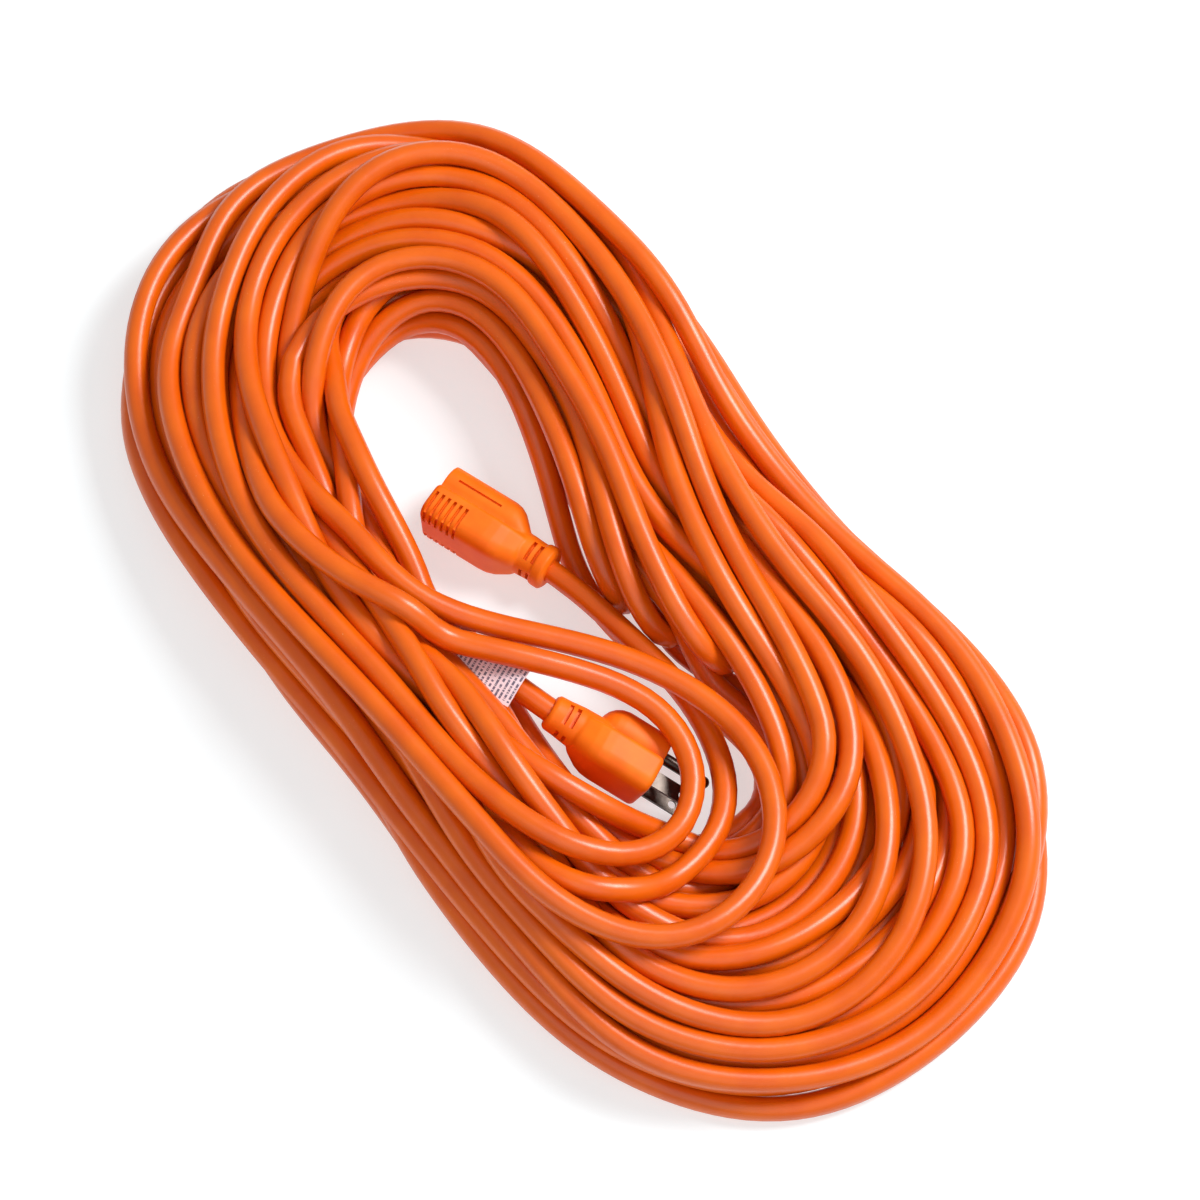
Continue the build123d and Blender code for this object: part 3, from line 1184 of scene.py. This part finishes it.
@dataclass
class HankedCord:
    """The cord itself: 100 ft from the connector to the plug, most of it in the hank's turns."""

    connector: Connector
    plug: Plug
    diameter: float = 9.4
    length: float = 30480.0
    segment: float = 17.0
    grip: float = 9.0
    straight: float = 18.0

    # the listed stretches, in metres
    connector_lead: tuple[Point, ...] = (
        (0.027, 0.005, 0.020), (0.046, 0.008, 0.021), (0.065, 0.009, 0.021), (0.084, 0.006, 0.021),
        (0.102, -0.001, 0.023), (0.115, -0.014, 0.026), (0.120, -0.031, 0.029), (0.121, -0.048, 0.033),
        (0.118, -0.066, 0.037), (0.107, -0.079, 0.040), (0.088, -0.086, 0.042),
    )
    long_loop: tuple[Point, ...] = (
        (-0.030, -0.064, 0.044), (-0.013, -0.052, 0.044), (0.004, -0.037, 0.042), (0.023, -0.019, 0.038),
        (0.044, -0.002, 0.035), (0.067, 0.009, 0.034), (0.089, 0.014, 0.034), (0.110, 0.011, 0.035),
        (0.128, 0.001, 0.037), (0.141, -0.015, 0.040), (0.147, -0.037, 0.043), (0.143, -0.058, 0.046),
        (0.131, -0.072, 0.048), (0.114, -0.082, 0.050), (0.094, -0.089, 0.052),
    )
    short_loop: tuple[Point, ...] = (
        (-0.036, -0.078, 0.050), (-0.019, -0.069, 0.049), (-0.002, -0.057, 0.047), (0.014, -0.043, 0.046),
        (0.030, -0.028, 0.041), (0.047, -0.013, 0.035), (0.066, -0.004, 0.032), (0.082, -0.005, 0.031),
        (0.096, -0.011, 0.031), (0.106, -0.022, 0.031), (0.110, -0.036, 0.033), (0.109, -0.051, 0.036),
        (0.101, -0.064, 0.041), (0.088, -0.073, 0.046), (0.070, -0.078, 0.050),
    )
    plug_lead: tuple[Point, ...] = (
        (-0.058, -0.048, 0.033), (-0.040, -0.050, 0.033), (-0.021, -0.051, 0.032), (-0.004, -0.050, 0.032),
        (0.012, -0.0465, 0.0325), (0.025, -0.0435, 0.0335),
    )
    first_fold: tuple[Point, ...] = (
        (-0.045, 0.030, 0.036), (-0.021, 0.021, 0.034), (-0.005, 0.014, 0.030), (0.008, 0.010, 0.026),
        (0.017, 0.009, 0.021), (0.023, 0.014, 0.014), (0.020, 0.022, 0.009), (0.006, 0.027, 0.006),
        (-0.014, 0.030, 0.005),
    )
    second_fold: tuple[Point, ...] = (
        (-0.054, 0.044, 0.038), (-0.037, 0.038, 0.038), (-0.007, 0.026, 0.036), (0.016, 0.018, 0.030),
        (0.032, 0.012, 0.026), (0.043, 0.011, 0.020), (0.048, 0.019, 0.013), (0.042, 0.028, 0.009),
        (0.024, 0.033, 0.007), (-0.004, 0.035, 0.006),
    )
    third_fold: tuple[Point, ...] = (
        (-0.043, 0.043, 0.040), (-0.022, 0.038, 0.040), (0.003, 0.030, 0.038), (0.030, 0.022, 0.033),
        (0.048, 0.018, 0.028), (0.060, 0.019, 0.021), (0.066, 0.027, 0.014), (0.060, 0.036, 0.010),
        (0.042, 0.041, 0.008), (0.014, 0.042, 0.007),
    )

    def ring(self) -> Ring:
        """The hank's room, 18 stations anticlockwise from its right end.

        Returns:
            The ring.
        """
        inner = [
            (121, -6), (115, 8), (101, 17), (78, 21), (42, 20), (-2, 17), (-50, 33), (-88, 42),
            (-118, 36), (-134, 12), (-128, -14), (-108, -34), (-80, -46), (-46, -52), (4, -52), (64, -54),
            (98, -46), (116, -28),
        ]
        outer = [
            (215, 4), (201, 62), (168, 90), (110, 101), (44, 93), (-18, 94), (-92, 101), (-157, 91),
            (-198, 58), (-215, 4), (-208, -43), (-180, -78), (-132, -98), (-70, -102), (10, -98),
            (92, -100), (160, -90), (202, -52),
        ]
        pile = [32, 32, 34, 36, 38, 40, 40, 40, 40, 40, 42, 44, 48, 52, 54, 52, 42, 34]
        return Ring(self.diameter, inner, outer, [float(h) for h in pile])

    @staticmethod
    def row(number: float) -> float:
        """The level of a row of turns, of six."""
        return (number + 0.5) / 6

    def inside(self, moulding: Moulding) -> list[Point]:
        """Gives the two points that lead the cord straight out of a moulding.

        Args:
            moulding: The moulding.

        Returns:
            The inner point and the outer one, in metres.
        """
        start = -moulding.length + self.grip
        height = moulding.neck_height
        return [tuple(moulding.at(start - self.straight * k, 0, height) * MM) for k in (0, 1)]

    def lay(self) -> Route:
        """Lays the whole route.

        Returns:
            The route.
        """
        route = Route(self.ring())
        row = self.row
        back, forth = Way.CLOCKWISE, Way.ANTICLOCKWISE
        ends = self.inside(self.connector)
        route.loose(ends + list(self.connector_lead), 0.3, (0, 0.75))

        # first run: the bottom row, wound inwards
        first = [(14.2, 0.60, 0.7), (13, 0.62, 0.35), (11.5, 0.7, 0.12)]
        first += route.plain(back, 10, [(lane, row(0)) for lane in (0.95, 0.76, 0.57, 0.38, 0.19, 0.02)])
        first += [(7.5, 0.05, 0.5), (6.6, 0.0, 0.7)]
        route.turns(first, back, 0.04)
        route.loose(list(self.first_fold), 0.25)

        # second run: two low turns, then three on top, and the long loop across the opening
        second = [(6.8, 0.08, row(0))]
        second += route.plain(forth, 9, [(lane, row(1)) for lane in (0.08, 0.30, 0.52)])
        second += [(9, 0.6, 0.5), (12, 0.5, 0.6), (15, 0.3, 0.65), (0, 0.2, 0.8)]
        second += route.chosen(
            {2: 0.18, 3: 0.22, 4: 0.3, 5: 0.5, 6: 0.84, 7: 0.86, 8: 0.80, 9: 0.62, 10: 0.46, 11: 0.42,
             12: 0.42, 13: 0.41, 13.5: 0.46, 14: 0.38, 14.5: 0.3, 15: 0.18, 15.5: 0.08, 16: 0.0, 17: 0.0,
             0: 0.08, 1: 0.12},
            forth, 0.93, 2, {12: 0.86, 13: 0.76, 13.5: 0.72, 14: 0.7, 14.5: 0.68, 15: 0.68, 15.5: 0.68,
                             16: 0.7, 17: 0.84})
        second += route.chosen(
            {2: 0.27, 3: 0.3, 4: 0.42, 5: 0.62, 6: 0.78, 7: 0.78, 8: 0.70, 8.5: 0.64, 9: 0.48, 9.5: 0.38,
             10: 0.30, 11: 0.22, 12: 0.22, 13: 0.18, 13.5: 0.02, 14: -0.06, 15: -0.03, 16: 0.04, 17: 0.1,
             0: 0.18, 1: 0.24},
            forth, 0.99, 2, {11: 0.9, 12: 0.58, 13: 0.36, 13.5: 0.26, 14: 0.22, 15: 0.24, 16: 0.4,
                             17: 0.72})
        second += route.chosen(
            {2: 0.34, 3: 0.40, 4: 0.5, 5: 0.6, 6: 0.62, 7: 0.66, 8: 0.62, 9: 0.52, 10: 0.38, 11: 0.33,
             12: 0.31, 12.5: 0.31}, forth, 0.86, 2)
        route.turns(second, forth, 0.10)
        route.loose(list(self.long_loop), 0.3, (0.10, 0.72))

        # third run: four turns on top, then two inside
        third = route.chosen(
            {14.5: 0.80, 14: 0.86, 13: 0.86, 12: 0.84, 11: 0.80, 10.5: 0.72, 10: 0.74, 9.5: 0.85, 9: 0.92,
             8: 1.0, 7: 0.98, 6: 0.95, 5: 0.93, 4: 0.98, 3: 1.0, 2: 1.0, 1: 1.0, 0: 1.0, 17: 0.98,
             16: 0.98, 15: 1.0},
            back, 0.93, 14.5)
        third += route.chosen(
            {14: 1.0, 13: 1.0, 12: 1.0, 11: 1.0, 10: 1.0, 9: 1.0, 8: 0.92, 7: 0.9, 6: 0.88, 5: 0.84,
             4: 0.88, 3: 0.9, 2: 0.88, 1: 0.92, 0: 0.95, 17: 0.93, 16: 0.92, 15: 0.95}, back, 0.85, 14)
        third += route.chosen(
            {14: 0.93, 13: 0.95, 12: 0.93, 11: 0.9, 10: 0.86, 9: 0.8, 8: 0.78, 7: 0.72, 6: 0.74, 5: 0.74,
             4: 0.78, 3: 0.8, 2: 0.8, 1: 0.84, 0: 0.90, 17: 0.88, 16: 0.87, 15: 0.88}, back, 0.85, 14)
        third += route.chosen(
            {14: 0.8, 13: 0.75, 12: 0.75, 11: 0.72, 10: 0.66, 9: 0.6, 8: 0.62, 7: 0.62, 6: 0.66, 5: 0.64,
             4: 0.7, 3: 0.7, 2: 0.68, 1: 0.73, 0: 0.82, 17: 0.8, 16: 0.78, 15: 0.74}, back, 0.85, 14)
        third += route.plain(back, 12, [(0.75, row(3)), (0.3, row(3))])
        third += [(12, 0.12, 0.6), (9, 0.1, 0.7), (7, 0.1, 0.8)]
        route.turns(third, back, 0.10)
        route.loose(list(self.second_fold), 0.25)

        # fourth run: four inner turns, and the short loop over the plug's blades
        fourth = [(6.8, 0.14, row(0))]
        fourth += route.plain(forth, 9, [(lane, row(2)) for lane in (0.15, 0.35, 0.58, 0.8)])
        fourth += [(9, 0.7, 0.6), (12, 0.6, 0.7), (15, 0.5, 0.7), (0, 0.5, 0.8)]
        fourth += route.chosen(
            {2: 0.5, 3: 0.55, 4: 0.62, 5: 0.66, 6: 0.52, 7: 0.5, 8: 0.45, 9: 0.40, 10: 0.46, 11: 0.5,
             12: 0.5, 12.6: 0.48}, forth, 0.8, 2)
        route.turns(fourth, forth, 0.06)
        route.loose(list(self.short_loop), 0.3, (0.12, 0.72))

        # fifth run: three turns on top, then two inside
        fifth = route.chosen(
            {14.5: 0.55, 14: 0.6, 13: 0.66, 12: 0.6, 11: 0.59, 10: 0.62, 9: 0.76, 8: 0.90, 7: 0.95,
             6: 0.93, 5: 0.75, 4: 0.62, 3: 0.58, 2: 0.54, 1: 0.59, 0: 0.76, 17: 0.84, 16: 0.77, 15: 0.66},
            back, 0.9, 14.5)
        fifth += route.chosen(
            {14: 0.5, 13: 0.52, 12: 0.52, 11: 0.51, 10: 0.52, 9: 0.58, 8: 0.52, 7: 0.5, 6: 0.48, 5: 0.44,
             4: 0.46, 3: 0.46, 2: 0.44, 1: 0.46, 0: 0.60, 17: 0.68, 16: 0.6, 15: 0.48}, back, 0.85, 14)
        fifth += route.chosen(
            {14: 0.42, 13: 0.36, 12: 0.36, 11: 0.38, 10: 0.42, 9: 0.36, 8: 0.32, 7: 0.3, 6: 0.3, 5: 0.3,
             4: 0.36, 3: 0.36, 2: 0.34, 1: 0.33, 0: 0.40, 17: 0.46, 16: 0.3, 15: 0.26}, back, 0.82, 14)
        fifth += route.plain(back, 12, [(0.5, row(3)), (0.1, row(3))])
        fifth += [(12, 0.1, 0.6), (9, 0.15, 0.8), (7, 0.16, 0.9)]
        route.turns(fifth, back, 0.10)
        route.loose(list(self.third_fold), 0.25)

        # sixth run: low turns, and out to the plug
        sixth = [(6.6, 0.2, row(1))]
        sixth += route.plain(forth, 9, [(lane, row(1)) for lane in (0.2, 0.74, 0.96)] + [(0.98, row(2))])
        sixth += [(9, 0.1, 0.5), (11, 0.12, 0.6)]
        route.turns(sixth, forth, 0.04)
        ends = self.inside(self.plug)[::-1]
        route.loose(list(self.plug_lead) + ends, 0.3, (0.3, 1))
        return route

    def settled_points(self) -> np.ndarray:
        """Lays the route, spaces its points evenly and lets it settle.

        Returns:
            The cord's points, in metres.
        """
        line, held, pull = self.lay().joined(self.segment)
        LOG.info("laid: %.2f m, %d points", self.segment * (len(line) - 1) * MM, len(line))
        settling = Settling(self.diameter, self.segment)
        return settling.run(line, held, pull, settling.steps) * MM

    def build(self, jacket: bpy.types.Material, going_with: list[object]) -> bpy.types.Object:
        """Makes the cord as one smooth spline and gives it its round jacket.

        Args:
            jacket: Its finish.
            going_with: The pieces on it, such as its plug; not used.

        Returns:
            The cord's tube.
        """
        points = self.settled_points()
        curve = bpy.data.curves.new("cord_line", "CURVE")
        curve.dimensions = "3D"
        spline = curve.splines.new("NURBS")
        spline.points.add(len(points) - 1)
        for knot, point in zip(spline.points, points):
            knot.co = (*point, 1.0)
        spline.order_u = 3
        spline.use_endpoint_u = True
        curve.resolution_u = 3
        obj = bpy.data.objects.new("orange_cord", curve)
        bpy.context.collection.objects.link(obj)
        bare = bpy.data.meshes.new_from_object(obj)
        path = [tuple(vertex.co) for vertex in bare.vertices]
        bpy.data.meshes.remove(bare)
        curve.bevel_depth = self.diameter / 2 * MM
        curve.bevel_resolution = 3
        curve.use_fill_caps = True
        Bench.pick(obj)
        bpy.ops.object.convert(target="MESH")
        bpy.ops.object.shade_smooth()
        dress(obj, jacket)
        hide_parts("cord_hank", "connector_lead", "plug_lead", "long_loose_loop", "short_loose_loop")
        leaves = tuple(self.connector.at(-self.connector.length, 0, self.connector.neck_height) * MM)
        return obj


# ---------------------------------------------------------------- the tag


@dataclass
class WarningTag:
    """A label glued over the plug's lead, which lies on it and on the turns beside it."""

    long: float = 32.0
    tall: float = 18.0
    thick: float = 0.25
    edge: Point = (10.0, -41.0, 39.6)
    along: Point = (0.93, 0.35, 0.05)
    up: Point = (-0.35, 0.90, 0.12)

    def frame(self) -> Matrix:
        """Its frame: X along its long side, Y up across it, origin at the middle of its upper edge.

        Returns:
            The matrix from millimetres to metres in the row frame.
        """
        y = Vector(self.up).normalized()
        x = Vector(self.along).normalized()
        x = (x - y * x.dot(y)).normalized()
        turn = Matrix((x, y, x.cross(y))).transposed().to_4x4()
        return Matrix.Translation(Vector(self.edge) * MM) @ turn @ Matrix.Scale(MM, 4)

    def build(self, material: bpy.types.Material) -> bpy.types.Object:
        """Models the tag from a grid, bent over the lead.

        Args:
            material: Its finish.

        Returns:
            The tag.
        """
        Bench.clear()
        bpy.ops.mesh.primitive_grid_add(
            x_subdivisions=32, y_subdivisions=20, size=1, location=(0, -self.tall / 2, 0), calc_uvs=True
        )
        tag = bpy.context.active_object
        tag.name = "label_tag"
        tag.scale = (self.long, self.tall, 1)
        bpy.ops.object.transform_apply(location=True, rotation=True, scale=True)
        for vertex in tag.data.vertices:
            down = -vertex.co.y / self.tall
            side = vertex.co.x / (self.long / 2)
            over = math.exp(-(((down - 0.45) / 0.28) ** 2))
            vertex.co.z += 0.5 * over - 1.0 * down**2 + 0.5 * side**2 * down - 0.25 * math.sin(side * 2.6)
        Bench.modify(tag, "SOLIDIFY", thickness=self.thick, offset=0.0)
        Bench.settle_in(tag, self.frame(), 50)
        dress(tag, material)
        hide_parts("warning_tag")
        return tag


# ---------------------------------------------------------------- carried-over pieces


class Stock(Enum):
    """What a carried-over piece is made of."""

    PLATED = "plated_blade"
    BRASS = "contact_brass"
    COPPER = "copper"
    INSERT = "insert_plastic"
    BLACK = "wire_black"
    WHITE = "wire_white"
    GREEN = "wire_green"


@dataclass
class FrameFinishes:
    """Finishes for the pieces that stay as the frame has them."""

    stock: dict[Stock, bpy.types.Material] = field(default_factory=dict)

    def __post_init__(self) -> None:
        """Builds one material for each stock."""
        self.stock = {
            Stock.PLATED: PlatedMetal("nickel_plate", (58, 50, 46), (96, 87, 81), (0.28, 0.44)).material(),
            Stock.BRASS: PlatedMetal("contact_brass", (156, 118, 58), (204, 168, 98)).material(),
            Stock.COPPER: PlatedMetal("stranded_copper", (158, 84, 56), (214, 132, 98)).material(),
            Stock.INSERT: MouldedPlastic("insert_plastic", (214, 196, 164), (226, 210, 180)).material(),
            Stock.BLACK: MouldedPlastic("black_insulation", (20, 20, 21), (32, 32, 33)).material(),
            Stock.WHITE: MouldedPlastic("white_insulation", (216, 214, 208), (234, 232, 228)).material(),
            Stock.GREEN: MouldedPlastic("green_insulation", (22, 92, 44), (34, 112, 56)).material(),
        }

    def stock_of(self, node: str) -> Stock:
        """Picks a node's stock by what its name says it is.

        Args:
            node: The node's name.

        Returns:
            The stock.
        """
        if "carrier" in node:
            return Stock.INSERT
        if "strands" in node:
            return Stock.COPPER
        if "contact" in node:
            return Stock.BRASS
        if "wire" in node:
            return {"hot": Stock.BLACK, "neutral": Stock.WHITE, "ground": Stock.GREEN}[node.split("_")[1]]
        return Stock.PLATED

    def apply(self, nodes: dict[str, bpy.types.Object]) -> None:
        """Dresses every frame piece that still shows.

        Args:
            nodes: The frame's pieces by name.
        """
        for name, obj in nodes.items():
            if obj.hide_render:
                continue
            stock = self.stock_of(name)
            obj.data.materials.clear()
            obj.data.materials.append(self.stock[stock])
            LOG.info("dressed %s as %s", name, stock.value)


# ---------------------------------------------------------------- the studio


@dataclass
class Studio:
    """A pale floor, soft light from the upper right and a high camera."""

    azimuth: float = 53.0
    elevation: float = 68.0
    distance: float = 1.30
    target: Point = (0.0, 0.0, 0.018)
    frame_width: float = 0.462
    off_centre: tuple[float, float] = (0.02658, -0.01092)

    def back(self) -> Vector:
        """The direction from the target to the camera."""
        a, e = math.radians(self.azimuth), math.radians(self.elevation)
        return Vector((math.sin(a) * math.cos(e), -math.cos(a) * math.cos(e), math.sin(e)))

    def camera(self) -> None:
        """Sets the camera at its viewing angle."""
        data = bpy.data.cameras.new("studio_camera")
        data.sensor_width = 36
        data.lens = 36 * self.distance / self.frame_width
        data.shift_x, data.shift_y = self.off_centre
        obj = bpy.data.objects.new("studio_camera", data)
        bpy.context.collection.objects.link(obj)
        obj.location = Vector(self.target) + self.back() * self.distance
        obj.rotation_euler = self.back().to_track_quat("Z", "Y").to_euler()
        bpy.context.scene.camera = obj

    def lamp(self, name: str, towards: Point, distance: float, size: float, power: float) -> None:
        """Adds a soft square lamp that faces the target.

        Args:
            name: Its name.
            towards: Its direction from the target.
            distance: How far off it is.
            size: Its side.
            power: Its power in watts.
        """
        data = bpy.data.lights.new(name, "AREA")
        data.shape = "SQUARE"
        data.size = size
        data.energy = power
        obj = bpy.data.objects.new(name, data)
        bpy.context.collection.objects.link(obj)
        direction = Vector(towards).normalized()
        obj.location = Vector(self.target) + direction * distance
        obj.rotation_euler = direction.to_track_quat("Z", "Y").to_euler()

    def lights(self) -> None:
        """Sets the lamps and the even light of the room."""
        self.lamp("key_light", (0.25, 0.85, 1.1), 1.5, 0.55, 22)
        self.lamp("fill_light", (0.7, -0.6, 1.2), 1.8, 1.6, 7)
        world = bpy.data.worlds.new("studio_room")
        world.use_nodes = True
        world.node_tree.nodes["Background"].inputs["Color"].default_value = (1, 1, 1, 1)
        world.node_tree.nodes["Background"].inputs["Strength"].default_value = 0.42
        bpy.context.scene.world = world
        bpy.context.scene.view_settings.view_transform = "Standard"

    def floor(self) -> None:
        """Lays the floor."""
        Bench.clear()
        below = (0, 0, -0.0002)
        bpy.ops.mesh.primitive_grid_add(x_subdivisions=4, y_subdivisions=4, size=8, location=below)
        obj = bpy.context.active_object
        obj.name = "studio_floor"
        bpy.ops.object.transform_apply(location=True, rotation=True, scale=True)
        obj.data.materials.append(PaleFloor().material())


def main() -> None:
    """Builds the cord, its plug, its connector and its tag, and sets the studio."""
    logging.basicConfig(level=logging.INFO, format="%(message)s")
    studio = Studio()
    studio.floor()
    studio.lights()
    studio.camera()

    moulded = MouldedPlastic("moulded_orange", (240, 104, 0), (248, 120, 4), (0.46, 0.58)).material()
    connector = Connector(
        "connector", square_frame((-60, -22, 14), (-0.944, -0.330, -0.02), (-0.330, 0.944, 0.0)), 32, 10, 12
    )
    plug = Plug(
        "plug",
        square_frame((82, -24, 19), (0.87, 0.40, -0.27), (-0.402, 0.900, -0.10)),
        25,
        9,
        12,
        relief_profile=((0.36, 0.97), (0.20, 0.95), (0.12, 0.96), (0.05, 0.99), (0.20, 0.97), (0.07, 0.84)),
    )
    for moulding in (connector, plug):
        piece = moulding.build(moulded)
        LOG.info("built %s, %d faces", piece.name, len(piece.data.polygons))
    plug_piece = bpy.data.objects["plug_moulding"]

    tag = WarningTag().build(PrintedFilm("label_film", (236, 214, 222), (112, 104, 122)).material())
    LOG.info("built %s", tag.name)

    cord = HankedCord(connector, plug)
    girth = math.pi * cord.diameter * MM
    jacket = CordJacket(
        "vinyl_jacket", (219, 88, 0), (230, 101, 0), (255, 198, 140), cord.length * MM, girth
    ).material()
    remade = ("plug_body", "plug_lead")
    on_plug = [plug_piece, tag] + [
        node for name, node in frame["nodes"].items() if name.startswith("plug_") and name not in remade
    ]
    piece = cord.build(jacket, on_plug)
    LOG.info("built %s, %d faces", piece.name, len(piece.data.polygons))

    FrameFinishes().apply(frame["nodes"])


if __name__ == "__main__":
    main()
